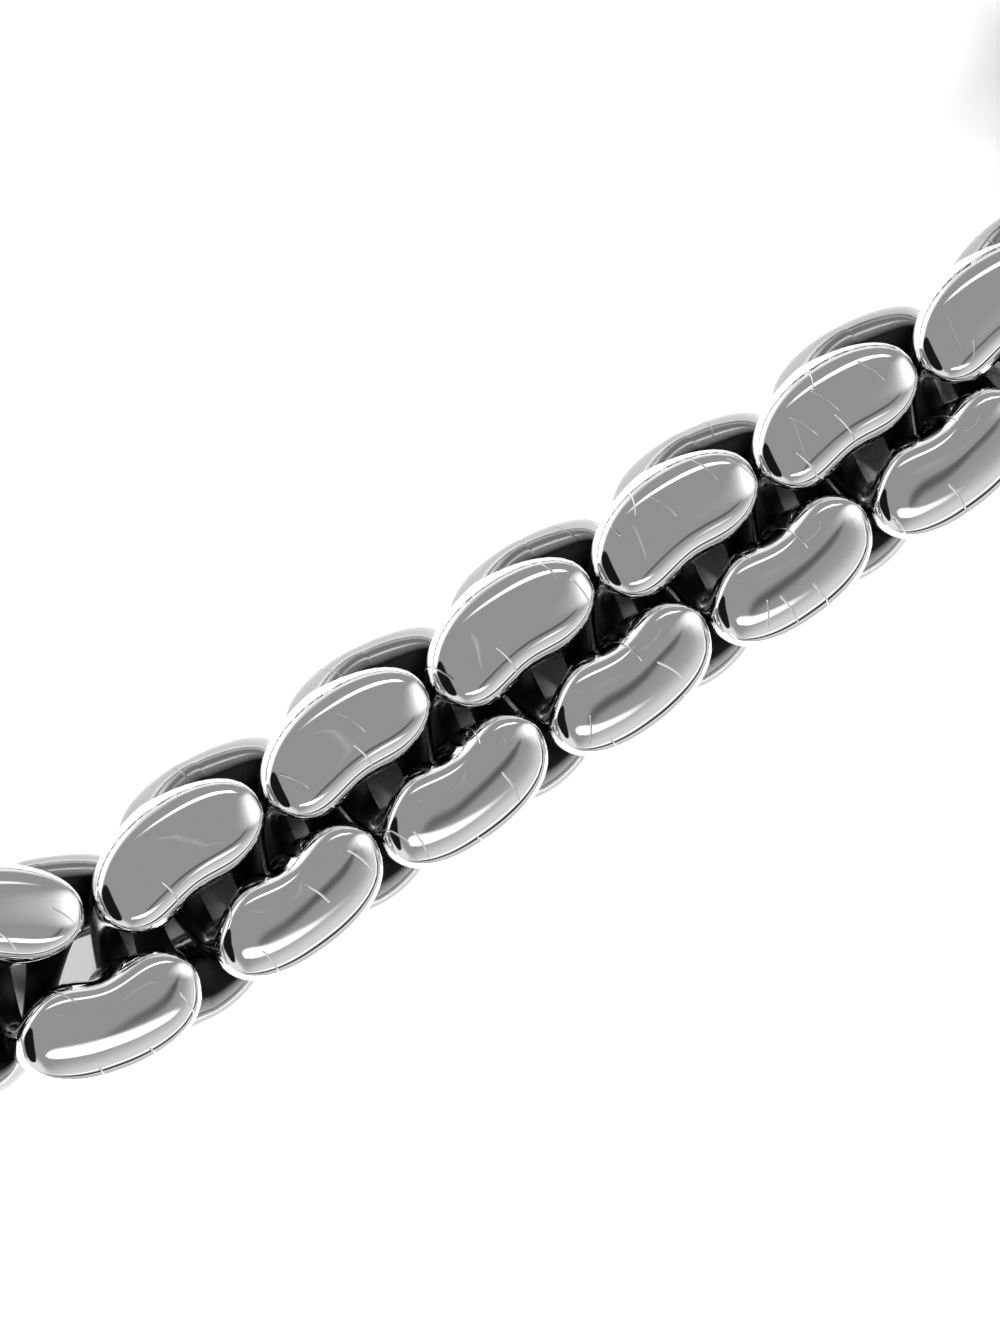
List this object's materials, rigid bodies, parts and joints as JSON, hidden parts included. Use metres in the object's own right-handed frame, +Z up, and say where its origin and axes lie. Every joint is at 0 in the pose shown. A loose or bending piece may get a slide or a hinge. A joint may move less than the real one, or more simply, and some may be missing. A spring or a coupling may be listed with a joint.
{
  "type": "bracelet",
  "caption": "Polished white-gold-coloured link bracelet of interlocked bean-shaped links in two rows, closed by a plain box clasp and laid flat.",
  "frame": {"origin": "on the surface that the bracelet lies on, under the middle of its outline", "axes": "+X along the long straight run in the direction in which the link numbers rise, +Z up from the surface, out of the faces of the beans"},
  "size_m": [0.0986, 0.0561, 0.0065],
  "materials": {
    "polished_metal": "mirror polish with hairline scratches"
  },
  "bodies": {
    "root": {"clasp": "polished_metal", "link_00": "polished_metal", "link_01": "polished_metal", "link_02": "polished_metal", "link_03": "polished_metal", "link_04": "polished_metal", "link_05": "polished_metal", "link_06": "polished_metal", "link_07": "polished_metal", "link_08": "polished_metal", "link_09": "polished_metal", "link_10": "polished_metal", "link_11": "polished_metal", "link_12": "polished_metal", "link_13": "polished_metal", "link_14": "polished_metal", "link_15": "polished_metal", "link_16": "polished_metal", "link_17": "polished_metal", "link_18": "polished_metal", "link_19": "polished_metal", "link_20": "polished_metal", "link_21": "polished_metal", "link_22": "polished_metal", "link_23": "polished_metal", "link_24": "polished_metal", "link_25": "polished_metal", "link_26": "polished_metal", "link_27": "polished_metal", "link_28": "polished_metal", "link_29": "polished_metal", "link_30": "polished_metal", "link_31": "polished_metal", "link_32": "polished_metal", "link_33": "polished_metal", "link_34": "polished_metal", "link_35": "polished_metal", "link_36": "polished_metal", "link_37": "polished_metal", "link_38": "polished_metal", "link_39": "polished_metal"}
  },
  "joints": []
}
